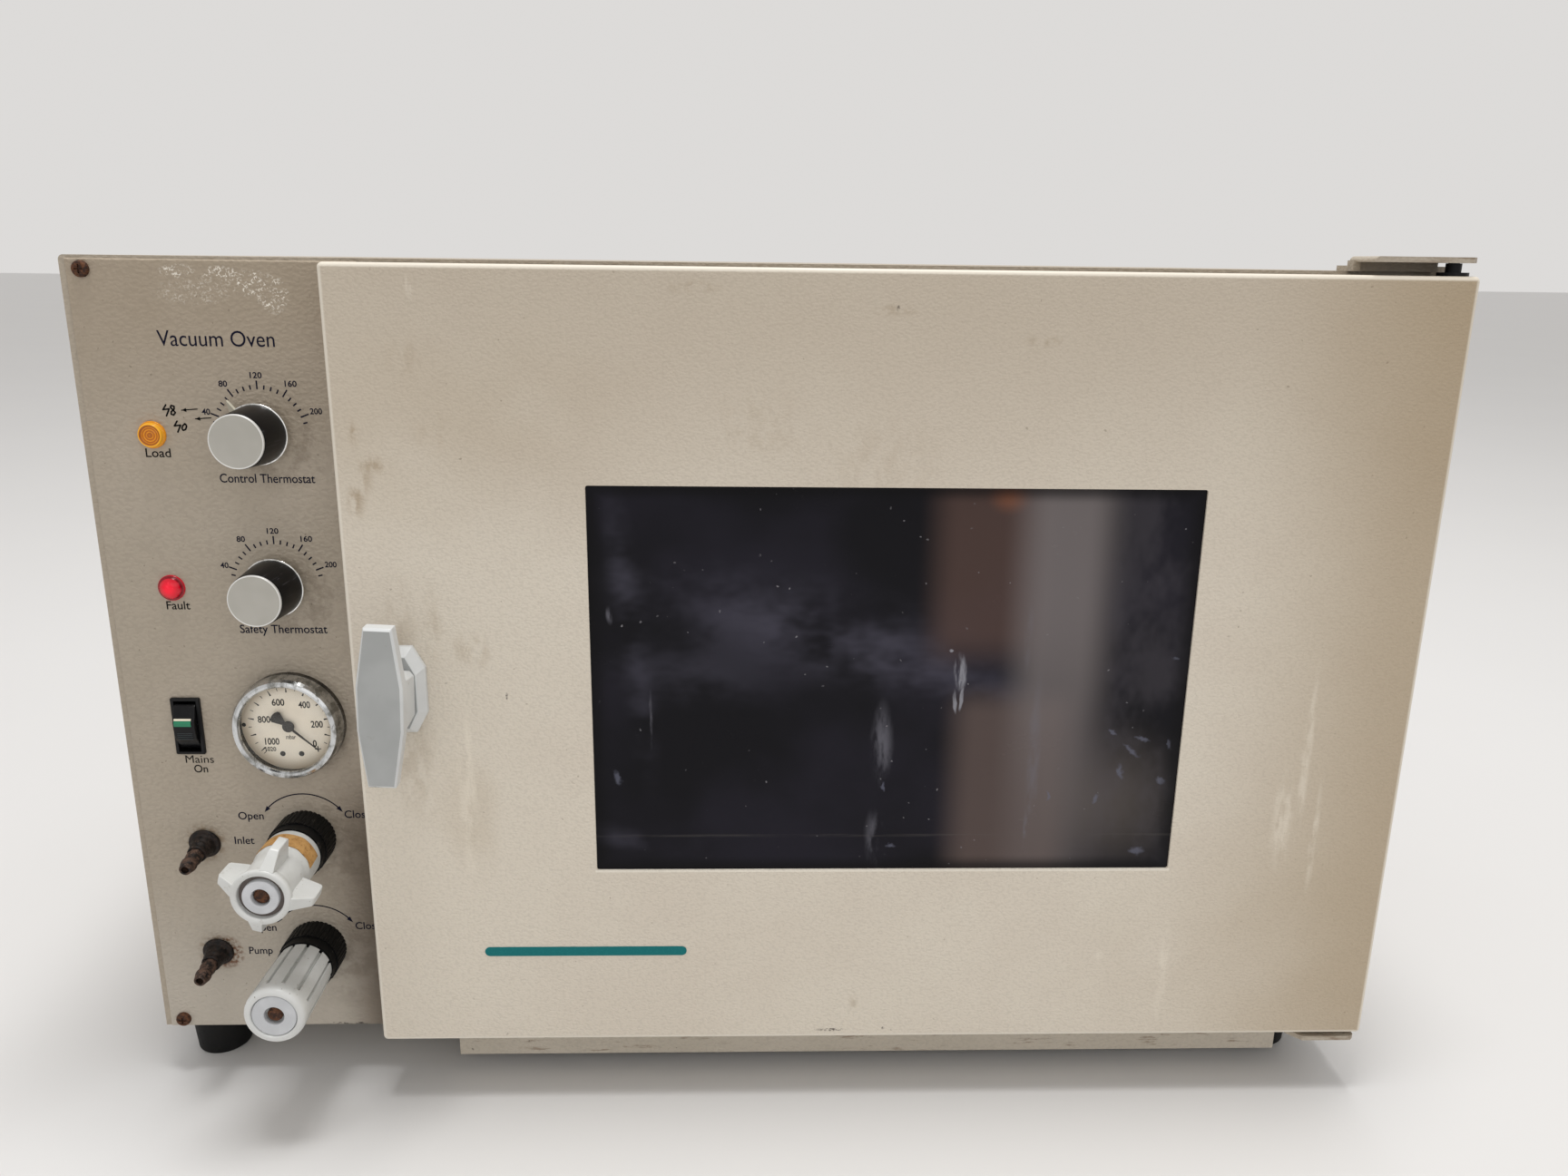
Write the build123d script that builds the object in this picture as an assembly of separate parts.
"""Bench-top laboratory vacuum oven: sheet-metal case, jacketed vacuum chamber, hinged glazed door
with a T-handle latch, and a control panel with two thermostats, a vacuum gauge and two valves.

Millimetres, +Z up, the front faces -Y. The parts are built with y = 0 on the door's front face and
z = 0 under the feet, and export() moves them to the row's frame: origin at the centre of the
bounding box's bottom face.
"""
import math
import os

from build123d import *

# ---- Case ----
SHEET = 1.5
CASE_W = 798
CASE_H = 499
CASE_D = 480
FOOT_H = 35
CASE_FRONT = 30
CASE_BACK = CASE_FRONT + CASE_D
CASE_BOTTOM = FOOT_H
CASE_TOP = FOOT_H + CASE_H
CASE_HALF = CASE_W / 2
WRAP_FRONT = CASE_FRONT + SHEET + 0.2
FLANGE_W = 15
FOOT_XS = (-377, 361)
FOOT_YS = (64.5, 470)
FOOT_R_TOP = 20
FOOT_R_BOTTOM = 17
SKIRT_X = (-204, 356.6)
SKIRT_BOTTOM = 11.4

# ---- Door ----
DOOR_W = 644
DOOR_H = 487.6
DOOR_BOTTOM = 44.4
DOOR_T = 26
DOOR_X = CASE_HALF - DOOR_W / 2
DOOR_Z = DOOR_BOTTOM + DOOR_H / 2
DOOR_TOP = DOOR_BOTTOM + DOOR_H
DOOR_CORNER = 3
WINDOW_W = 361
WINDOW_H = 244
GLASS_W = 465
GLASS_H = 395
GLASS_T = 12
LINER_Y = DOOR_T - SHEET
GLASS_Y = LINER_Y - GLASS_T

# ---- Hinge ----
PIVOT_X = 390.5
PIVOT_Y = 15
PIN_R = 3
RUNNING = 0.05
PLATE_T = 3.1
TOP_PLATE_Z = 542.3
BOTTOM_PLATE_Z = 38.3
BUSH_R = 4.25
BUSH_FLANGE_R = 8.4

# ---- Chamber ----
CHAMBER_W = 415
CHAMBER_H = 345
CHAMBER_D = 370
CHAMBER_CORNER = 12
VESSEL_WALL = 4
FACE_Y = CASE_FRONT + SHEET
FACE_T = 10
FACE_BORDER = 30
VESSEL_Y = FACE_Y + FACE_T
VESSEL_BACK = FACE_Y + CHAMBER_D
VESSEL_W = CHAMBER_W + 2 * VESSEL_WALL
VESSEL_H = CHAMBER_H + 2 * VESSEL_WALL
RIB_H = 12
GASKET_W = 8
GASKET_INNER = 10
GASKET_FRONT = LINER_Y + 0.3
GROOVE_DEPTH = 3.5
JACKET_GAP = RIB_H + 0.5
JACKET_T = 40
SHELF_ZS = (213, 339)
LEDGE_ZS = (150, 213, 276, 339, 402)
FASCIA_GAP = 19
SHELF_W = 404
SHELF_Y = (50, 388)

# ---- Latch ----
LATCH_X = -218.5
LATCH_Z = 287.2
LATCH_LEAN = 2.5
SPINDLE_R = 5
GRIP_H = 96.5
GRIP_W = 26.5
GRIP_END_W = 16
GRIP_FRONT = -37
GRIP_T = 9
ESCUTCHEON_T = 10
CAM_Y = (34, 38)
CAM_W = 12
CAM_L = 44
LATCH_SLOT_W = 18
KEEPER_H = 54
KEEPER_REAR = 33.5

# ---- Control panel ----
PANEL_LEFT = -395.2
PANEL_RIGHT = -232.2
PANEL_BOTTOM = 35.1
PANEL_TOP = 532.3
LAMP_X = -358
LOAD_LAMP_Z = 433
FAULT_LAMP_Z = 340.3
CONTROL_X = -295
CONTROL_Z = 434.6
SAFETY_X = -294.5
SAFETY_Z = 342.4
CONTROL_POINTER = -40
SAFETY_POINTER = -100
SWITCH_X = -358.5
SWITCH_Z = 251
SWITCH_W = 18
SWITCH_H = 37.4
ROCKER_TILT = 7
GAUGE_X = -294
GAUGE_Z = 253.5
GAUGE_ZERO = 132
VALVE_X = -293
INLET_Z = 174
PUMP_Z = 94.7
NOZZLE_X = -357.5
NOZZLE_ZS = (170.3, 91.8)
NOZZLE_DROOP = 6
VALVE_FRONT = -46.5
VALVE_REAR = 5.5
LUG_R = 28.5
LUG_TURN = 16
SCREW_R = 4.7
SCREW_HEAD = 3
PANEL_SCREWS = ((-386, 526.3), (-386, 41))

# ---- Rear ----
MAINS_X = -220
MAINS_Z = 80
REAR_REACH = CASE_BACK + SCREW_HEAD
Y_SHIFT = -(VALVE_FRONT + REAR_REACH) / 2


# ---- Helpers ----
def block(x, y, z):
    """A box between two values on each axis."""
    size = [high - low for low, high in (x, y, z)]
    centre = [(high + low) / 2 for low, high in (x, y, z)]
    return Pos(*centre) * Box(*size)


def facing(x, y, z):
    """A plane at a point whose sketches are seen from the front: local x is +X, local y is +Z."""
    return Plane(origin=(x, y, z), x_dir=(1, 0, 0), z_dir=(0, -1, 0))


def slab(sketch, x, z, y):
    """A sketch in the front view, centred on x and z and extruded between two depths."""
    front, rear = y
    return extrude(facing(x, rear, z) * sketch, amount=rear - front)


def disc(x, z, radius, y):
    return slab(Circle(radius), x, z, y)


def ring_slab(outer, inner, x, z, y):
    return slab(outer - inner, x, z, y)


def turned(x, z, profile):
    """A solid of revolution about the Y direction through x, z, from (radius, depth) points."""
    face = make_face(Polyline(*[(radius, depth, 0) for radius, depth in profile], close=True))
    return Pos(x, 0, z) * revolve(face, axis=Axis.Y)


def upright(x, y, radius, z):
    low, high = z
    return Pos(x, y, (low + high) / 2) * Cylinder(radius, high - low)


def lengthwise(x, z, radius, y):
    return disc(x, z, radius, y)


def turn_about(shape, x, z, degrees):
    """Turn a shape about the Y direction through x, z, clockwise in the front view."""
    return shape.rotate(Axis((x, 0, z), (0, 1, 0)), degrees)


def tube(points, bend, radius, bore):
    """A pipe along straight runs joined by round bends."""
    path = FilletPolyline(*points, radius=bend)
    start = Plane(origin=path @ 0, z_dir=path % 0)
    section = Circle(radius)
    if bore:
        section = section - Circle(bore)
    return sweep(start * section, path=path)


def pan_screw(head_plane, length):
    """A pan-head screw: the shank runs into the plane, the head stands on it."""
    head = Pos(0, 0, SCREW_HEAD / 2) * Cylinder(SCREW_R, SCREW_HEAD)
    head = fillet(head.edges().group_by(Axis.Z)[-1], 1.8)
    slot = Pos(0, 0, SCREW_HEAD) * Box(5, 1, 2.2) + Pos(0, 0, SCREW_HEAD) * Box(1, 5, 2.2)
    shank = Pos(0, 0, -length / 2) * Cylinder(2.5, length)
    return head_plane * (head - slot + shank)


def joined(shapes):
    return Compound([solid for shape in shapes for solid in shape.solids()])


# ---- Case ----
def case_wrap():
    """Cover folded from one sheet: two sides and the top, with returned edges front and rear."""
    inner_h = CASE_H - SHEET
    outer = slab(Rectangle(CASE_W, CASE_H), 0, CASE_BOTTOM + CASE_H / 2, (WRAP_FRONT, CASE_BACK))
    top_edges = outer.edges().filter_by(Axis.Y).group_by(Axis.Z)[-1]
    outer = fillet(top_edges, 3)
    hollow = slab(Rectangle(CASE_W - 2 * SHEET, inner_h), 0, CASE_BOTTOM + inner_h / 2,
                  (WRAP_FRONT - 1, CASE_BACK + 1))
    wrap = outer - hollow
    border = Rectangle(CASE_W - 2 * SHEET, inner_h)
    mouth = Pos(0, -FLANGE_W) * Rectangle(CASE_W - 2 * SHEET - 2 * FLANGE_W, inner_h)
    rear = CASE_BACK - SHEET - 0.2
    for y in ((WRAP_FRONT, WRAP_FRONT + SHEET), (rear - SHEET, rear)):
        wrap += slab(border - mouth, 0, CASE_BOTTOM + inner_h / 2, y)
    for x, z in PANEL_SCREWS:
        wrap -= disc(x, z, 2.6, (WRAP_FRONT - 1, WRAP_FRONT + 3))
    for x, z in rear_screws():
        wrap -= disc(x, z, 2.6, (rear - 3, rear + 1))
    for x, y in bracket_screws():
        wrap -= upright(x, y, 2.6, (CASE_TOP - 3, CASE_TOP + 1))
    return wrap


def base_tray():
    """Floor of the case with upstanding edges and a skirt that hangs below the chamber."""
    half = CASE_HALF - SHEET - 0.2
    rear = CASE_BACK - 2 * SHEET - 0.6
    front = WRAP_FRONT + SHEET + 0.2
    floor = CASE_BOTTOM + SHEET
    lip = floor + 18
    tray = block((-half, half), (front, rear), (CASE_BOTTOM, floor))
    tray += block((-half, -half + SHEET), (front, rear), (floor, lip))
    tray += block((half - SHEET, half), (front, rear), (floor, lip))
    inner = half - FLANGE_W - 1
    tray += block((-inner, inner), (front, front + SHEET), (floor, lip))
    tray += block((-inner, inner), (rear - SHEET, rear), (floor, lip))
    skirt = block(SKIRT_X, (CASE_FRONT, CASE_FRONT + SHEET), (SKIRT_BOTTOM, CASE_BOTTOM))
    skirt += block(SKIRT_X, (CASE_FRONT, 62), (CASE_BOTTOM - SHEET, CASE_BOTTOM))
    cut = [upright(x, y, FOOT_R_TOP + 1, (CASE_BOTTOM - 5, CASE_BOTTOM)) for x in FOOT_XS for y in FOOT_YS]
    for gap in cut:
        skirt -= gap
    tray += skirt
    for x in FOOT_XS:
        for y in FOOT_YS:
            tray -= upright(x, y, 2.6, (CASE_BOTTOM - 3, floor + 1))
    for x, y in bracket_screws():
        tray -= upright(x, y, 2.6, (CASE_BOTTOM - 3, floor + 1))
    return tray


def rear_screws():
    return [(x, z) for x in (-386, 386) for z in (60, 210, 360, 515)]


def bracket_screws():
    return [(366, 37.5), (386, 37.5)]


def back_panel():
    """Flat rear cover with cooling slots and the mains inlet's cut-out."""
    half = CASE_HALF - SHEET - 0.2
    panel = block((-half, half), (CASE_BACK - SHEET, CASE_BACK), (CASE_BOTTOM + 0.2, CASE_TOP - SHEET - 0.2))
    slot = SlotOverall(70, 5)
    for x in (-280, -190, 200, 290):
        for row in range(8):
            panel -= slab(slot, x, 400 + 12 * row, (CASE_BACK - 5, CASE_BACK + 2))
    panel -= slab(Rectangle(27.4, 20.4), MAINS_X, MAINS_Z, (CASE_BACK - 5, CASE_BACK + 2))
    for x, z in rear_screws():
        panel -= disc(x, z, 2.6, (CASE_BACK - 5, CASE_BACK + 2))
    return panel


def front_fascia():
    """Five flat strips behind the door: they frame the sealing face and leave a gap for the keeper."""
    y = (CASE_FRONT, CASE_FRONT + SHEET)
    left = PANEL_RIGHT + 0.5
    right = -PANEL_LEFT
    half_w = CHAMBER_W / 2 + FASCIA_GAP
    half_h = CHAMBER_H / 2 + FASCIA_GAP
    low = DOOR_Z - half_h
    high = DOOR_Z + half_h
    inner_left = DOOR_X - half_w
    keeper_low = LATCH_Z - KEEPER_H / 2
    keeper_high = LATCH_Z + KEEPER_H / 2
    return joined([
        block((left, right), y, (PANEL_BOTTOM, low)),
        block((left, right), y, (high, PANEL_TOP)),
        block((DOOR_X + half_w, right), y, (low, high)),
        block((left, inner_left), y, (low, keeper_low)),
        block((left, inner_left), y, (keeper_high, high)),
    ])


def latch_keeper():
    """Two thick plates set in the fascia, with the slot for the latch's tongue between them."""
    y = (CASE_FRONT, KEEPER_REAR)
    z = (LATCH_Z - KEEPER_H / 2, LATCH_Z + KEEPER_H / 2)
    left = block((PANEL_RIGHT + 0.5, LATCH_X - LATCH_SLOT_W / 2), y, z)
    right = block((LATCH_X + LATCH_SLOT_W / 2, DOOR_X - CHAMBER_W / 2 - FASCIA_GAP), y, z)
    return joined([left, right - chamber_flange_space()])


def chamber_flange_space():
    """Clearance behind the fascia for the sealing face."""
    reach = CHAMBER_W / 2 + FACE_BORDER + 0.5
    return block((DOOR_X - reach, DOOR_X), (FACE_Y, KEEPER_REAR + 1), (0, CASE_TOP))


def feet():
    """Four tapered rubber feet, counterbored for their screws."""
    solids = []
    for x in FOOT_XS:
        for y in FOOT_YS:
            foot = Pos(x, y, FOOT_H / 2) * Cone(FOOT_R_BOTTOM, FOOT_R_TOP, FOOT_H)
            foot = fillet(foot.edges().group_by(Axis.Z)[0], 1.5)
            foot -= upright(x, y, 6, (-1, 10))
            foot -= upright(x, y, 2.6, (-1, FOOT_H + 1))
            solids.append(foot)
    return joined(solids)


def case_screws():
    """Pan-head screws of the panel, the rear cover, the hinge plates and the feet."""
    screws = [pan_screw(facing(x, CASE_FRONT, z), 6) for x, z in PANEL_SCREWS]
    rear = [Plane(origin=(x, CASE_BACK, z), x_dir=(1, 0, 0), z_dir=(0, 1, 0)) for x, z in rear_screws()]
    screws += [pan_screw(plane, 6) for plane in rear]
    for x, y in bracket_screws():
        top = Plane(origin=(x, y, CASE_TOP + PLATE_T))
        screws.append(pan_screw(top, 7))
        under = Plane(origin=(x, y, CASE_BOTTOM - PLATE_T), z_dir=(0, 0, -1))
        screws.append(pan_screw(under, 7))
    for x in FOOT_XS:
        for y in FOOT_YS:
            under = Plane(origin=(x, y, 10), z_dir=(0, 0, -1))
            screws.append(pan_screw(under, 32))
    return joined(screws)


# ---- Hinge plates ----
def top_hinge_plate():
    """Joggled plate screwed to the case's top, reaching out over the door."""
    low = TOP_PLATE_Z - PLATE_T
    arm_left = 338
    riser_right = 388
    arm = block((arm_left, 397.5), (1, 31), (low, TOP_PLATE_Z))
    arm = chamfer(arm.edges().filter_by(Axis.Z).group_by(Axis.Y)[0].sort_by(Axis.X)[-1:], 4)
    arm = fillet(arm.edges().filter_by(Axis.Y).group_by(Axis.Z)[-1].sort_by(Axis.X)[:1], 2.6)
    plate = arm + block((arm_left - 1.2, arm_left + 3.2), (24, 31), (CASE_TOP, low + 0.8))
    plate += block((arm_left, riser_right), (CASE_FRONT - PLATE_T, CASE_FRONT), (CASE_TOP, low + 1))
    plate += block((arm_left, 396), (CASE_FRONT - PLATE_T, 46), (CASE_TOP, CASE_TOP + PLATE_T))
    plate -= block((riser_right, 400), (CASE_FRONT - 5, 31.5), (CASE_TOP - 1, low))
    plate -= upright(PIVOT_X, PIVOT_Y, PIN_R, (low - 1, TOP_PLATE_Z + 1))
    for x, y in bracket_screws():
        plate -= upright(x, y, 2.6, (CASE_TOP - 1, TOP_PLATE_Z + 1))
    return plate


def bottom_hinge_plate():
    """Joggled plate screwed under the case, carrying the door's lower pin."""
    high = BOTTOM_PLATE_Z + PLATE_T
    under = CASE_BOTTOM - PLATE_T
    arm = block((353, 396), (1, 29.8), (BOTTOM_PLATE_Z, high))
    corners = arm.edges().filter_by(Axis.Z).group_by(Axis.Y)[0].sort_by(Axis.X)
    arm = chamfer(corners[:1], 8)
    arm = chamfer(arm.edges().filter_by(Axis.Z).sort_by(Axis.X)[-2:].sort_by(Axis.Y)[:1], 2.5)
    plate = arm + block((359, 396), (26.7, 29.8), (under, high))
    plate += block((359, 396), (26.7, 43), (under, CASE_BOTTOM))
    plate -= upright(PIVOT_X, PIVOT_Y, PIN_R, (BOTTOM_PLATE_Z - 1, high + 1))
    for x, y in bracket_screws():
        plate -= upright(x, y, 2.6, (under - 1, CASE_BOTTOM + 1))
    return plate


def hinge_pins():
    top = upright(PIVOT_X, PIVOT_Y, PIN_R, (520, TOP_PLATE_Z))
    bottom = upright(PIVOT_X, PIVOT_Y, PIN_R, (BOTTOM_PLATE_Z, 56))
    return joined([top, bottom])


def hinge_bushes():
    """Flanged plastic bushes pressed into the door's top and bottom edges."""
    bore = PIN_R + RUNNING
    top = upright(PIVOT_X, PIVOT_Y, BUSH_FLANGE_R, (DOOR_TOP, DOOR_TOP + 2))
    top += upright(PIVOT_X, PIVOT_Y, BUSH_R, (516, TOP_PLATE_Z - PLATE_T - 0.2))
    top -= upright(PIVOT_X, PIVOT_Y, bore, (500, 545))
    plate_top = BOTTOM_PLATE_Z + PLATE_T
    bottom = upright(PIVOT_X, PIVOT_Y, BUSH_FLANGE_R, (plate_top + 0.3, DOOR_BOTTOM))
    bottom += upright(PIVOT_X, PIVOT_Y, BUSH_R, (DOOR_BOTTOM, 60))
    bottom -= upright(PIVOT_X, PIVOT_Y, bore, (30, 70))
    return joined([top, bottom])


# ---- Chamber ----
def chamber_vessel():
    """Welded box with a closed back, two stiffening ribs and two pipe ports."""
    outer = RectangleRounded(VESSEL_W, VESSEL_H, CHAMBER_CORNER + VESSEL_WALL)
    inner = RectangleRounded(CHAMBER_W, CHAMBER_H, CHAMBER_CORNER)
    vessel = slab(outer, DOOR_X, DOOR_Z, (VESSEL_Y, VESSEL_BACK + VESSEL_WALL))
    rib = RectangleRounded(VESSEL_W + 2 * RIB_H, VESSEL_H + 2 * RIB_H, CHAMBER_CORNER + VESSEL_WALL)
    for y in (150, 290):
        vessel += slab(rib, DOOR_X, DOOR_Z, (y, y + 6))
    vessel -= slab(inner, DOOR_X, DOOR_Z, (VESSEL_Y - 1, VESSEL_BACK))
    for x, z in pipe_ports():
        vessel -= disc(x, z, 4, (VESSEL_BACK - 1, VESSEL_BACK + 6))
    return vessel


def pipe_ports():
    return [(37, INLET_Z), (117, 240)]


def chamber_flange():
    """Sealing face welded to the vessel's mouth, grooved for the door seal."""
    outer = RectangleRounded(CHAMBER_W + 2 * FACE_BORDER, CHAMBER_H + 2 * FACE_BORDER, 20)
    mouth = RectangleRounded(CHAMBER_W, CHAMBER_H, CHAMBER_CORNER)
    face = ring_slab(outer, mouth, DOOR_X, DOOR_Z, (FACE_Y, VESSEL_Y))
    return face - gasket_ring((FACE_Y - 1, FACE_Y + GROOVE_DEPTH))


def gasket_ring(y):
    inner_w = CHAMBER_W + GASKET_INNER
    inner_h = CHAMBER_H + GASKET_INNER
    inner = RectangleRounded(inner_w, inner_h, CHAMBER_CORNER + 4)
    outer = RectangleRounded(inner_w + 2 * GASKET_W, inner_h + 2 * GASKET_W, CHAMBER_CORNER + 12)
    return ring_slab(outer, inner, DOOR_X, DOOR_Z, y)


def door_gasket():
    return gasket_ring((GASKET_FRONT, FACE_Y + GROOVE_DEPTH))


def heater_mats():
    """Four flat heating mats bonded between the vessel's ribs."""
    y = (165, 281)
    mat_t = 3
    half_w = VESSEL_W / 2
    half_h = VESSEL_H / 2
    top = block((DOOR_X - 180, DOOR_X + 180), y, (DOOR_Z + half_h, DOOR_Z + half_h + mat_t))
    bottom = block((DOOR_X - 180, DOOR_X + 180), y, (DOOR_Z - half_h - mat_t, DOOR_Z - half_h))
    left = block((DOOR_X - half_w - mat_t, DOOR_X - half_w), y, (150, 320))
    right = block((DOOR_X + half_w, DOOR_X + half_w + mat_t), y, (150, 320))
    return joined([top, bottom, left, right])


def insulation_jacket():
    """Mineral-wool box round the vessel, open at the front."""
    in_w = VESSEL_W + 2 * JACKET_GAP
    in_h = VESSEL_H + 2 * JACKET_GAP
    back = VESSEL_BACK + VESSEL_WALL + JACKET_GAP
    front = VESSEL_Y + 0.5
    jacket = slab(Rectangle(in_w + 2 * JACKET_T, in_h + 2 * JACKET_T), DOOR_X, DOOR_Z, (front, back + JACKET_T))
    jacket -= slab(Rectangle(in_w, in_h), DOOR_X, DOOR_Z, (front - 1, back))
    for x, z in pipe_ports():
        jacket -= disc(x, z, 7, (back - 1, back + JACKET_T + 1))
    left = DOOR_X - in_w / 2
    for z in (CONTROL_Z, SAFETY_Z):
        jacket -= Pos(left - JACKET_T / 2, 250, z) * Cylinder(3, JACKET_T + 2, rotation=(0, 90, 0))
    return jacket


def shelf_runners():
    """A ladder of ledges on each side wall of the chamber."""
    solids = []
    for side in (-1, 1):
        wall = DOOR_X + side * CHAMBER_W / 2
        inward = -side
        posts = sorted((wall, wall + 3 * inward))
        ledge = sorted((wall, wall + 15 * inward))
        ladder = block(posts, (80, 92), (135, 425)) + block(posts, (350, 362), (135, 425))
        for z in LEDGE_ZS:
            ladder += block(ledge, (60, 385), (z - 1.5, z))
            ladder += block(posts, (60, 385), (z - 12, z))
        solids.append(ladder)
    return joined(solids)


def shelves():
    """Two loose trays with turned-up front and rear edges."""
    trays = []
    x = (DOOR_X - SHELF_W / 2, DOOR_X + SHELF_W / 2)
    front, rear = SHELF_Y
    for z in SHELF_ZS:
        tray = block(x, SHELF_Y, (z, z + 1.5))
        tray += block(x, (front, front + 1.5), (z, z + 9))
        tray += block(x, (rear - 1.5, rear), (z, z + 9))
        trays.append(tray)
    return joined(trays)


# ---- Door ----
def door_skin():
    """Outer pan of the door: one sheet folded back on all four sides, with the window opening."""
    outer = slab(RectangleRounded(DOOR_W, DOOR_H, DOOR_CORNER), DOOR_X, DOOR_Z, (0, LINER_Y))
    outer = fillet(outer.faces().sort_by(Axis.Y)[0].edges(), 2.4)
    hollow = RectangleRounded(DOOR_W - 2 * SHEET, DOOR_H - 2 * SHEET, DOOR_CORNER - SHEET)
    skin = outer - slab(hollow, DOOR_X, DOOR_Z, (SHEET, LINER_Y + 1))
    skin -= slab(RectangleRounded(WINDOW_W, WINDOW_H, 1.5), DOOR_X, DOOR_Z, (-1, SHEET + 1))
    skin -= disc(LATCH_X, LATCH_Z, SPINDLE_R + 0.5, (-1, SHEET + 1))
    skin -= upright(PIVOT_X, PIVOT_Y, BUSH_R, (DOOR_BOTTOM - 1, DOOR_BOTTOM + 3))
    skin -= upright(PIVOT_X, PIVOT_Y, BUSH_R, (DOOR_TOP - 3, DOOR_TOP + 1))
    return skin


def door_liner():
    """Rear pan of the door: a sheet round the inner glass with an edge turned into the outer pan."""
    liner = slab(RectangleRounded(DOOR_W, DOOR_H, DOOR_CORNER), DOOR_X, DOOR_Z, (LINER_Y, DOOR_T))
    inside = RectangleRounded(DOOR_W - 2 * SHEET - 0.4, DOOR_H - 2 * SHEET - 0.4, 1.2)
    hollow = RectangleRounded(DOOR_W - 4 * SHEET - 0.4, DOOR_H - 4 * SHEET - 0.4, 1)
    liner += ring_slab(inside, hollow, DOOR_X, DOOR_Z, (20.5, LINER_Y))
    liner -= slab(RectangleRounded(445, 375, 26), DOOR_X, DOOR_Z, (0, DOOR_T + 1))
    return liner - disc(LATCH_X, LATCH_Z, SPINDLE_R + 0.5, (0, DOOR_T + 1))


def door_window():
    """Dark outer screen behind the window opening."""
    return slab(RectangleRounded(WINDOW_W + 24, WINDOW_H + 24, 4), DOOR_X, DOOR_Z, (SHEET, SHEET + 4))


def inner_glass():
    """Thick toughened plate that closes the chamber."""
    plate = slab(RectangleRounded(GLASS_W, GLASS_H, 8), DOOR_X, DOOR_Z, (GLASS_Y, LINER_Y))
    return plate


def glass_cushion():
    """Soft frame that presses the inner glass back against the liner."""
    outer = RectangleRounded(GLASS_W, GLASS_H, 8)
    inner = RectangleRounded(WINDOW_W + 34, WINDOW_H + 34, 6)
    return ring_slab(outer, inner, DOOR_X, DOOR_Z, (SHEET, GLASS_Y))


# ---- Latch ----
def octagon(width, height, end_width, side_height):
    """A long octagon: end_width is its flat at each end, side_height its flat at each side."""
    w, h, e, s = width / 2, height / 2, end_width / 2, side_height / 2
    corners = [(e, h), (w, s), (w, -s), (e, -h), (-e, -h), (-w, -s), (-w, s), (-e, h)]
    return make_face(Polyline(*corners, close=True))


def handle_escutcheon():
    """Bevelled eight-sided base plate of the latch handle."""
    base = facing(LATCH_X, 0, LATCH_Z) * octagon(36, 54, 22, 28)
    face = facing(LATCH_X, -ESCUTCHEON_T, LATCH_Z) * octagon(28, 45, 17, 23)
    step = slab(octagon(36, 54, 22, 28), LATCH_X, LATCH_Z, (-3, 0))
    bevel_base = facing(LATCH_X, -3, LATCH_Z) * octagon(36, 54, 22, 28)
    plate = step + loft([bevel_base, face])
    return plate - lengthwise(LATCH_X, LATCH_Z, SPINDLE_R + RUNNING, (-ESCUTCHEON_T - 1, 1))


def t_handle():
    """Flat eight-sided grip on a tapered stem."""
    grip_rear = GRIP_FRONT + GRIP_T
    stem_rear = -ESCUTCHEON_T - 0.3
    grip = slab(octagon(GRIP_W, GRIP_H, GRIP_END_W, 27), LATCH_X, LATCH_Z, (GRIP_FRONT, grip_rear))
    grip = chamfer(grip.faces().sort_by(Axis.Y)[0].edges(), 1.2)
    wide = facing(LATCH_X, grip_rear, LATCH_Z) * octagon(25, 40, 17, 30)
    narrow = facing(LATCH_X, stem_rear, LATCH_Z) * octagon(26, 30, 21, 24)
    handle = grip + loft([narrow, wide])
    handle -= lengthwise(LATCH_X, LATCH_Z, SPINDLE_R, (-30, 0))
    return turn_about(handle, LATCH_X, LATCH_Z, LATCH_LEAN)


def latch_spindle():
    rear = CAM_Y[1] + 2
    spindle = lengthwise(LATCH_X, LATCH_Z, SPINDLE_R, (-30, rear))
    return chamfer(spindle.faces().sort_by(Axis.Y)[-1].edges(), 0.8)


def latch_cam():
    """Tongue that passes through the slot and turns behind the keeper, with its spacing collar."""
    tongue = slab(SlotOverall(CAM_L, CAM_W).rotate(Axis.Z, 90), LATCH_X, LATCH_Z, CAM_Y)
    collar = disc(LATCH_X, LATCH_Z, 7.5, (29, CAM_Y[0]))
    spindle = lengthwise(LATCH_X, LATCH_Z, SPINDLE_R, (20, 45))
    return joined([turn_about(tongue - spindle, LATCH_X, LATCH_Z, LATCH_LEAN), collar - spindle])


# ---- Control panel ----
def control_panel():
    """Front sheet that carries the controls, with softened edges."""
    panel = block((PANEL_LEFT, PANEL_RIGHT), (CASE_FRONT, CASE_FRONT + SHEET), (PANEL_BOTTOM, PANEL_TOP))
    panel = fillet(panel.faces().sort_by(Axis.Y)[0].edges(), 1.2)
    through = (CASE_FRONT - 1, CASE_FRONT + 3)
    for z in (LOAD_LAMP_Z, FAULT_LAMP_Z):
        panel -= disc(LAMP_X, z, 6.5, through)
    panel -= disc(CONTROL_X, CONTROL_Z, 5.1, through)
    panel -= disc(SAFETY_X, SAFETY_Z, 5.1, through)
    panel -= slab(Rectangle(SWITCH_W - 1.6, SWITCH_H - 1.6), SWITCH_X, SWITCH_Z, through)
    panel -= disc(GAUGE_X, GAUGE_Z, 31.2, through)
    for z in (INLET_Z, PUMP_Z):
        panel -= disc(VALVE_X, z, 11.2, through)
    for z in NOZZLE_ZS:
        panel -= disc(NOZZLE_X, z, 6.2, through)
    for x, z in PANEL_SCREWS:
        panel -= disc(x, z, 2.6, through)
    return panel


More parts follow.
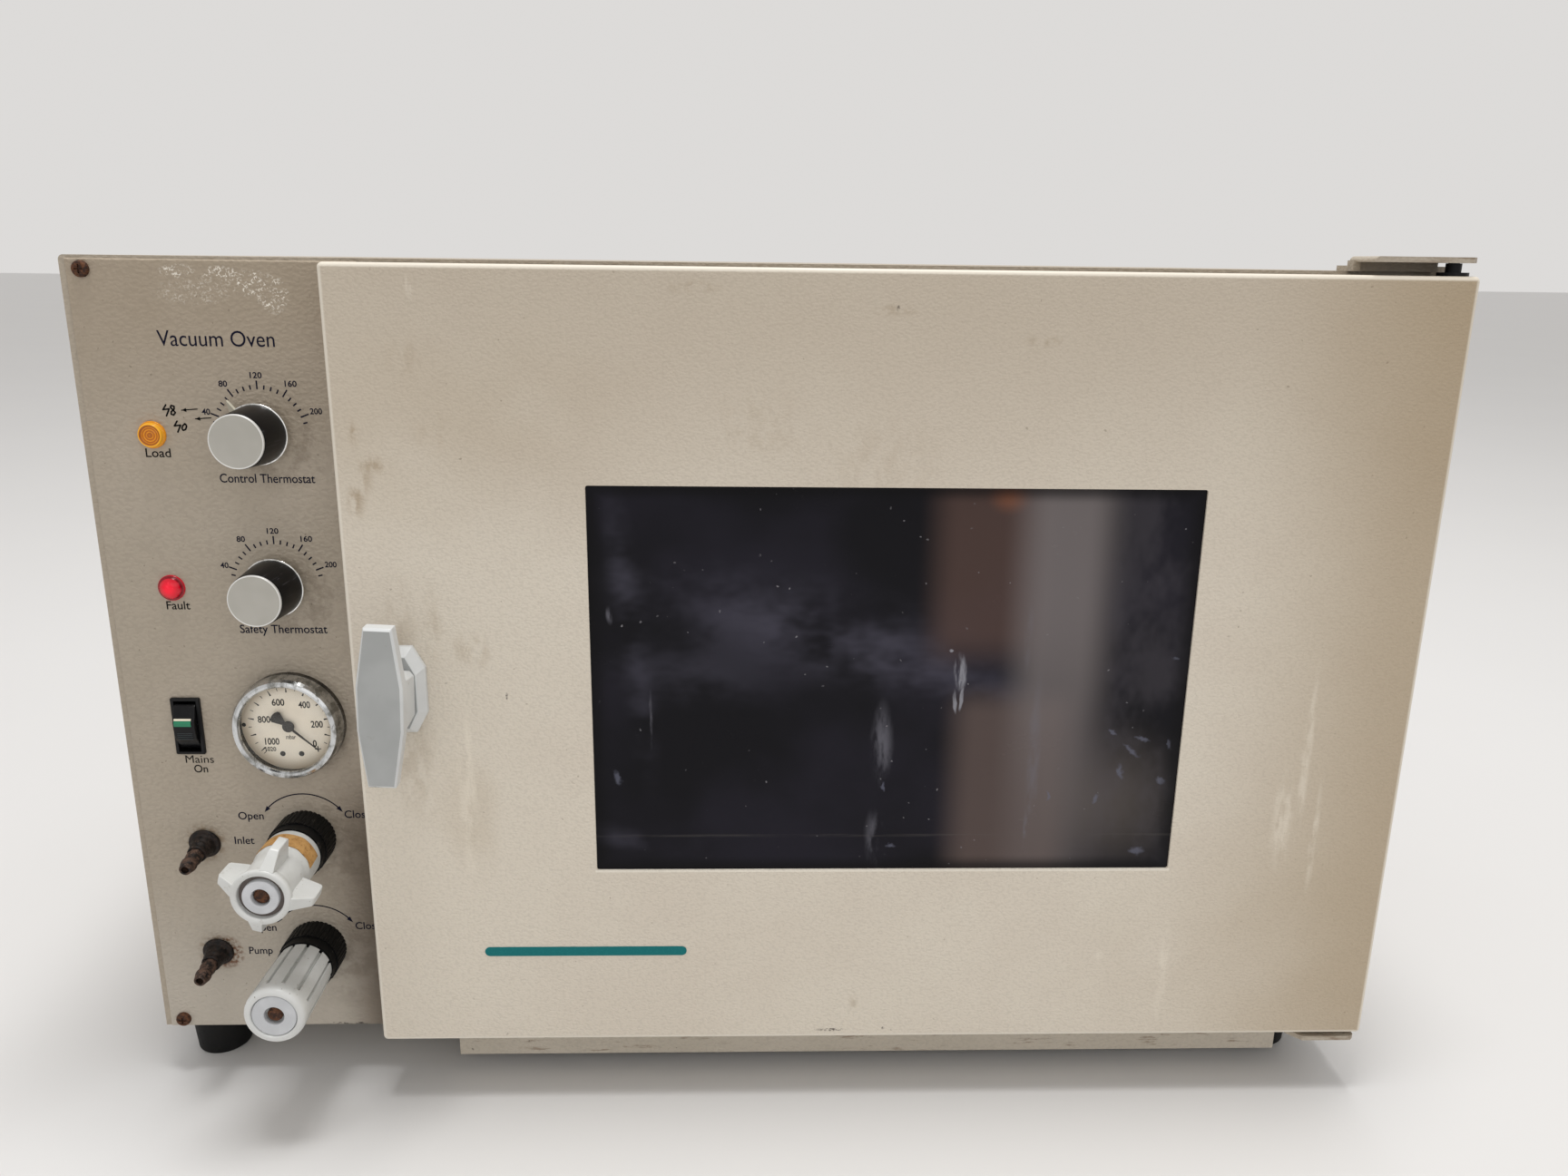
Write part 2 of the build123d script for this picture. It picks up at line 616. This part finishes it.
def lamp_lens(z, domed):
    """Screw-in coloured lens with a thin rim."""
    if domed:
        profile = [(0, 30), (8, 30), (8, 28.9), (7.6, 28.6), (7, 28.6), (6.6, 27.2), (5, 26), (2.6, 25.3), (0, 25.1)]
    else:
        profile = [(0, 30), (8, 30), (8, 28.9), (7.6, 28.6), (7, 28.6), (7, 26.6), (6.4, 26), (5, 26), (4.8, 26.6),
                   (2.4, 26.6), (2.2, 26), (0, 26)]
    return turned(LAMP_X, z, profile)


def lamp_bodies():
    profile = [(0, 30), (6.3, 30), (6.3, 44), (5.4, 44), (5.4, 58), (0, 58)]
    return joined([turned(LAMP_X, z, profile) for z in (LOAD_LAMP_Z, FAULT_LAMP_Z)])


def knob_body(x, z):
    """Slightly tapered knob body with a bore for the spindle."""
    body = extrude(facing(x, 22, z) * Circle(17.1), amount=27.5, taper=3)
    body += disc(x, z, 15.4, (-5.6, -5.4))
    return body - lengthwise(x, z, 3, (0, 30))


def knob_skirt(x, z, pointer):
    """Bright trim ring with the pointer behind it."""
    ring = turned(x, z, [(3, 22), (17.8, 22), (18.3, 22.4), (18.3, 23.6), (17.8, 24), (3, 24)])
    tip = make_face(Polyline((-1.6, 8), (-1.6, 20), (-0.5, 25), (0.5, 25), (1.6, 20), (1.6, 8), close=True))
    ring += slab(tip, x, z, (24, 26))
    return turn_about(ring, x, z, pointer)


def knob_cap(x, z):
    return turned(x, z, [(0, -5.6), (15.3, -5.6), (15.3, -6.4), (14.8, -7), (0, -7)])


def knob_spindle(x, z):
    return lengthwise(x, z, 3, (0, 58))


def thermostats():
    """Capillary thermostats behind the panel, held by a nut on a threaded bush."""
    solids = []
    for x, z in ((CONTROL_X, CONTROL_Z), (SAFETY_X, SAFETY_Z)):
        body = block((x - 23, x + 23), (36, 74), (z - 25, z + 25))
        body += disc(x, z, 5, (27.5, 36))
        body += slab(RegularPolygon(7.5, 6), x, z, (28, CASE_FRONT))
        body += disc(x, z, 8, (CASE_FRONT + SHEET, 36))
        body -= lengthwise(x, z, 3 + RUNNING, (20, 60))
        solids.append(body)
    return joined(solids)


def thermostat_sensors():
    """Capillary tubes ending in bulbs clipped to the vessel's left wall."""
    solids = []
    bulb_x = DOOR_X - VESSEL_W / 2 - 6
    for x, z in ((CONTROL_X, CONTROL_Z), (SAFETY_X, SAFETY_Z)):
        route = [(x + 23, 55, z), (-238, 55, z), (-238, 250, z), (bulb_x, 250, z), (bulb_x, 232, z)]
        line = tube(route, 8, 1, 0)
        solids.append(line + lengthwise(bulb_x, z, 3, (170, 233)))
    return joined(solids)


def switch_housing():
    """Snap-in rocker switch housing with a well for the rocker."""
    outer = slab(RectangleRounded(SWITCH_W, SWITCH_H, 1), SWITCH_X, SWITCH_Z, (28, CASE_FRONT))
    outer = chamfer(outer.faces().sort_by(Axis.Y)[0].edges(), 0.6)
    outer += slab(Rectangle(SWITCH_W - 2, SWITCH_H - 2), SWITCH_X, SWITCH_Z, (CASE_FRONT, 58))
    outer -= slab(Rectangle(13.8, 33.8), SWITCH_X, SWITCH_Z, (27, 45))
    pivot = Pos(SWITCH_X, 34, SWITCH_Z) * Cylinder(1.5 + RUNNING, 15.2, rotation=(0, 90, 0))
    return outer - pivot


def rocker():
    """Rocker with a raised middle, resting with its lower half pressed."""
    profile = [(28.4, 14.6), (25.8, 8.6), (23.8, 5.6), (23.4, 0), (23.8, -5.6), (25.8, -8.6), (28.4, -14.6),
               (30.5, -15.6), (38, -9), (38, 9), (30.5, 15.6)]
    face = make_face(Polyline(*[(0, y, SWITCH_Z + z) for y, z in profile], close=True))
    body = Pos(SWITCH_X - 6.6, 0, 0) * extrude(face, amount=13.2, dir=(1, 0, 0))
    body += Pos(SWITCH_X, 34, SWITCH_Z) * Cylinder(1.5, 15, rotation=(0, 90, 0))
    return body.rotate(Axis((SWITCH_X, 34, SWITCH_Z), (1, 0, 0)), ROCKER_TILT)


# ---- Vacuum gauge ----
def gauge_case():
    """Steel cup through the panel with a rim in front of it and a threaded socket behind."""
    outer = turned(GAUGE_X, GAUGE_Z, [(0, 19.2), (31, 19.2), (31, 26), (33, 26), (33, 29.9), (31, 29.9),
                                      (31, 58), (7, 58), (7, 72), (0, 72)])
    outer -= disc(GAUGE_X, GAUGE_Z, 29.4, (19, 56.4))
    outer += disc(GAUGE_X, GAUGE_Z, 6, (26, 57))
    return outer - disc(GAUGE_X, GAUGE_Z, 0.8 + RUNNING, (20, 40))


def gauge_bezel():
    """Rolled chrome ring that holds the glass."""
    return turned(GAUGE_X, GAUGE_Z, [(31.05, 26), (32.9, 26), (33, 21), (32.6, 17.5), (31.4, 15.4), (29.8, 14.6),
                                     (28.4, 15), (27.6, 16.2), (27.5, 17.1), (31.05, 17.1)])


def gauge_window():
    return disc(GAUGE_X, GAUGE_Z, 31, (17.2, 19.1))


def gauge_dial():
    dial = disc(GAUGE_X, GAUGE_Z, 29.3, (24, 25))
    return dial - disc(GAUGE_X, GAUGE_Z, 2, (20, 30))


def gauge_pointer():
    """Needle with a broad tail on a thin staff, resting at the scale's zero."""
    staff = disc(GAUGE_X, GAUGE_Z, 0.8, (21.6, 36))
    hub = disc(GAUGE_X, GAUGE_Z, 3.6, (21, 22.6))
    needle = Polyline((-1, -3), (-4, -9.6), (-2.6, -11.6), (2.6, -11.6), (4, -9.6), (1, -3), (0.6, 18),
                      (0, 24), (-0.6, 18), close=True)
    pointer = staff + hub + slab(make_face(needle), GAUGE_X, GAUGE_Z, (21.8, 22.6))
    return turn_about(pointer, GAUGE_X, GAUGE_Z, GAUGE_ZERO)


# ---- Valves ----
def valve_bodies():
    """Brass valve blocks behind the panel, each with a round bonnet through it."""
    solids = []
    for z in (INLET_Z, PUMP_Z):
        body = block((VALVE_X - 20, VALVE_X + 20), (CASE_FRONT + SHEET, 73), (z - 20, z + 20))
        body += disc(VALVE_X, z, 11, (20, CASE_FRONT + SHEET))
        body -= lengthwise(VALVE_X, z, 4 + RUNNING, (10, 58))
        solids.append(body)
    return joined(solids)


def valve_collars():
    """Ribbed black collars round the bonnets."""
    solids = []
    for z in (INLET_Z, PUMP_Z):
        ribs = Circle(19) - PolarLocations(19.3, 40) * Circle(0.8)
        collar = slab(ribs, VALVE_X, z, (13, CASE_FRONT))
        collar += disc(VALVE_X, z, 18, (6, 13))
        collar -= disc(VALVE_X, z, 11.05, (19.8, CASE_FRONT + 1))
        collar -= disc(VALVE_X, z, 4.5, (0, 21))
        solids.append(collar)
    return joined(solids)


def lug():
    """One wing of the inlet knob in the front view, pointing up."""
    left = [(-8.5, 10), (-5.2, 18), (-4.2, LUG_R - 2)]
    right = [(-x, z) for x, z in reversed(left)]
    side = Polyline(*left)
    tip = ThreePointArc(left[-1], (0, LUG_R), right[0])
    return make_face([*side.edges(), *tip.edges(), *Polyline(*right).edges(), *Line(right[-1], left[0]).edges()])


def inlet_valve_knob():
    """Four-winged knob on a plain barrel."""
    knob = turned(VALVE_X, INLET_Z, [(0, VALVE_REAR), (17.5, VALVE_REAR), (17.2, -13), (15.2, -17), (15.2, -38),
                                     (17.8, -41), (17.8, -45.5), (16.8, VALVE_FRONT), (0, VALVE_FRONT)])
    envelope = turned(VALVE_X, INLET_Z, [(0, -21), (27.2, -21), (LUG_R, -22.5), (LUG_R, -37), (17.8, -44.5), (0, -44.5)])
    wing = slab(lug(), VALVE_X, INLET_Z, (-45, -21)) & envelope
    for quarter in range(4):
        knob += turn_about(wing, VALVE_X, INLET_Z, LUG_TURN + 90 * quarter)
    knob -= disc(VALVE_X, INLET_Z, 13.6, (VALVE_FRONT - 1, -42))
    return knob - lengthwise(VALVE_X, INLET_Z, 4, (-50, 10))


def inlet_valve_cap():
    profile = [(5, -42), (13.5, -42), (13.5, -43.4), (10.8, -43.4), (10.8, -45.6), (10.3, -46.1), (5, -46.1)]
    return turned(VALVE_X, INLET_Z, profile)


def pump_valve_knob():
    """Fluted cylindrical knob."""
    section = Circle(18.3) - PolarLocations(18.3, 12) * Rectangle(2.4, 1.8)
    knob = slab(section, VALVE_X, PUMP_Z, (-41, -6))
    knob += turned(VALVE_X, PUMP_Z, [(0, VALVE_REAR), (17.3, VALVE_REAR), (17.8, -6), (0, -6)])
    knob += turned(VALVE_X, PUMP_Z, [(0, -41), (18.3, -41), (18.3, -45.5), (17.5, VALVE_FRONT), (0, VALVE_FRONT)])
    knob -= disc(VALVE_X, PUMP_Z, 13.6, (VALVE_FRONT - 1, -42))
    return knob - lengthwise(VALVE_X, PUMP_Z, 4, (-50, 10))


def pump_valve_cap():
    return turned(VALVE_X, PUMP_Z, [(5.5, -42), (13.5, -42), (13.5, -45.6), (13.1, -46), (5.5, -46)])


def valve_spindle(z):
    """Valve stem with the knob's retaining screw in its end."""
    return lengthwise(VALVE_X, z, 4, (-42, 56)) + turned(VALVE_X, z, [(0, -42), (4.6, -42), (4.6, -43.4), (3.6, -44.2), (0, -44.2)])


def hose_nozzles():
    """Barbed hose tails in front of the panel, each with a pipe behind it to its valve."""
    solids = []
    for z in NOZZLE_ZS:
        barbs = [(0, 0), (3.6, 0), (4.9, 5), (4.9, 6.5), (4, 7), (5, 12), (5, 13.5), (4.1, 14), (5.1, 19),
                 (5.1, 20.5), (4.4, 21), (4.4, CASE_FRONT), (0, CASE_FRONT)]
        hinge = Axis((NOZZLE_X, CASE_FRONT, z), (1, 0, 0))
        tail = turned(NOZZLE_X, z, barbs).rotate(hinge, NOZZLE_DROOP)
        bore = lengthwise(NOZZLE_X, z, 2.4, (-1, 24)).rotate(hinge, NOZZLE_DROOP)
        tail += Pos(NOZZLE_X, CASE_FRONT, z) * Sphere(4.7)
        route = [(NOZZLE_X, CASE_FRONT, z), (NOZZLE_X, 53, z), (VALVE_X - 20, 53, z)]
        solids.append(tail + tube(route, 12, 4.4, 0) - bore)
    return joined(solids)


def nozzle_grommets():
    """Rubber grommets in the panel, each with a tapered sleeve along its drooping nozzle."""
    solids = []
    for z in NOZZLE_ZS:
        hinge = Axis((NOZZLE_X, CASE_FRONT, z), (1, 0, 0))
        flange = [(0, 27.6), (9.4, 27.6), (10, 28.2), (10, CASE_FRONT), (6.1, CASE_FRONT), (6.1, 33), (0, 33)]
        sleeve = [(0, 15), (6, 15), (6.4, 15.6), (7.8, 28.5), (0, 28.5)]
        grommet = turned(NOZZLE_X, z, flange) + turned(NOZZLE_X, z, sleeve).rotate(hinge, NOZZLE_DROOP)
        grommet -= lengthwise(NOZZLE_X, z, 5.3, (10, CASE_FRONT)).rotate(hinge, NOZZLE_DROOP)
        solids.append(grommet - lengthwise(NOZZLE_X, z, 5.3, (CASE_FRONT - 1, 34)))
    return joined(solids)


def vacuum_pipes():
    """Pipes from the two valves to the chamber's back, and the gauge's branch."""
    (inlet_x, inlet_z), (pump_x, pump_z) = pipe_ports()
    back = VESSEL_BACK + VESSEL_WALL
    inlet = [(VALVE_X, 73, INLET_Z), (VALVE_X, 478, INLET_Z), (inlet_x, 478, inlet_z), (inlet_x, back, inlet_z)]
    pump = [(VALVE_X, 73, PUMP_Z), (VALVE_X, 494, PUMP_Z), (VALVE_X, 494, pump_z), (pump_x, 494, pump_z),
            (pump_x, back, pump_z)]
    branch = [(GAUGE_X, 72, GAUGE_Z), (GAUGE_X, 92, GAUGE_Z), (-335, 92, GAUGE_Z), (-335, 92, PUMP_Z),
              (VALVE_X - 5, 92, PUMP_Z)]
    return joined([tube(inlet, 16, 5, 4), tube(pump, 16, 5, 4), tube(branch, 9, 3, 0)])


def mains_inlet():
    """Three-pin appliance inlet in the rear cover."""
    housing = slab(RectangleRounded(34, 27, 3), MAINS_X, MAINS_Z, (CASE_BACK, REAR_REACH))
    housing += slab(Rectangle(27, 20), MAINS_X, MAINS_Z, (488, CASE_BACK))
    housing -= slab(Rectangle(24, 17), MAINS_X, MAINS_Z, (494, REAR_REACH + 1))
    for x, z in ((-7, -2), (0, 2), (7, -2)):
        housing += block((MAINS_X + x - 1, MAINS_X + x + 1), (492, 508), (MAINS_Z + z - 2, MAINS_Z + z + 2))
    return housing


def all_parts():
    control = (CONTROL_X, CONTROL_Z)
    safety = (SAFETY_X, SAFETY_Z)
    return {
        "case_wrap": case_wrap(),
        "base_tray": base_tray(),
        "back_panel": back_panel(),
        "front_fascia": front_fascia(),
        "control_panel": control_panel(),
        "case_screws": case_screws(),
        "feet": feet(),
        "top_hinge_plate": top_hinge_plate(),
        "bottom_hinge_plate": bottom_hinge_plate(),
        "hinge_pins": hinge_pins(),
        "latch_keeper": latch_keeper(),
        "chamber_vessel": chamber_vessel(),
        "chamber_flange": chamber_flange(),
        "door_gasket": door_gasket(),
        "heater_mats": heater_mats(),
        "insulation_jacket": insulation_jacket(),
        "shelf_runners": shelf_runners(),
        "shelves": shelves(),
        "door_skin": door_skin(),
        "door_liner": door_liner(),
        "door_window": door_window(),
        "inner_glass": inner_glass(),
        "glass_cushion": glass_cushion(),
        "hinge_bushes": hinge_bushes(),
        "handle_escutcheon": handle_escutcheon(),
        "t_handle": t_handle(),
        "latch_spindle": latch_spindle(),
        "latch_cam": latch_cam(),
        "load_lamp_lens": lamp_lens(LOAD_LAMP_Z, False),
        "fault_lamp_lens": lamp_lens(FAULT_LAMP_Z, True),
        "lamp_bodies": lamp_bodies(),
        "control_knob": knob_body(*control),
        "control_knob_skirt": knob_skirt(*control, CONTROL_POINTER),
        "control_knob_cap": knob_cap(*control),
        "control_spindle": knob_spindle(*control),
        "safety_knob": knob_body(*safety),
        "safety_knob_skirt": knob_skirt(*safety, SAFETY_POINTER),
        "safety_knob_cap": knob_cap(*safety),
        "safety_spindle": knob_spindle(*safety),
        "thermostats": thermostats(),
        "thermostat_sensors": thermostat_sensors(),
        "switch_housing": switch_housing(),
        "rocker": rocker(),
        "gauge_case": gauge_case(),
        "gauge_bezel": gauge_bezel(),
        "gauge_window": gauge_window(),
        "gauge_dial": gauge_dial(),
        "gauge_pointer": gauge_pointer(),
        "valve_bodies": valve_bodies(),
        "valve_collars": valve_collars(),
        "inlet_valve_knob": inlet_valve_knob(),
        "inlet_valve_cap": inlet_valve_cap(),
        "inlet_valve_spindle": valve_spindle(INLET_Z),
        "pump_valve_knob": pump_valve_knob(),
        "pump_valve_cap": pump_valve_cap(),
        "pump_valve_spindle": valve_spindle(PUMP_Z),
        "hose_nozzles": hose_nozzles(),
        "nozzle_grommets": nozzle_grommets(),
        "vacuum_pipes": vacuum_pipes(),
        "mains_inlet": mains_inlet(),
    }


def export():
    os.makedirs("parts", exist_ok=True)
    for name, shape in all_parts().items():
        export_step(Pos(0, Y_SHIFT, 0) * shape, f"parts/{name}.step")


export()
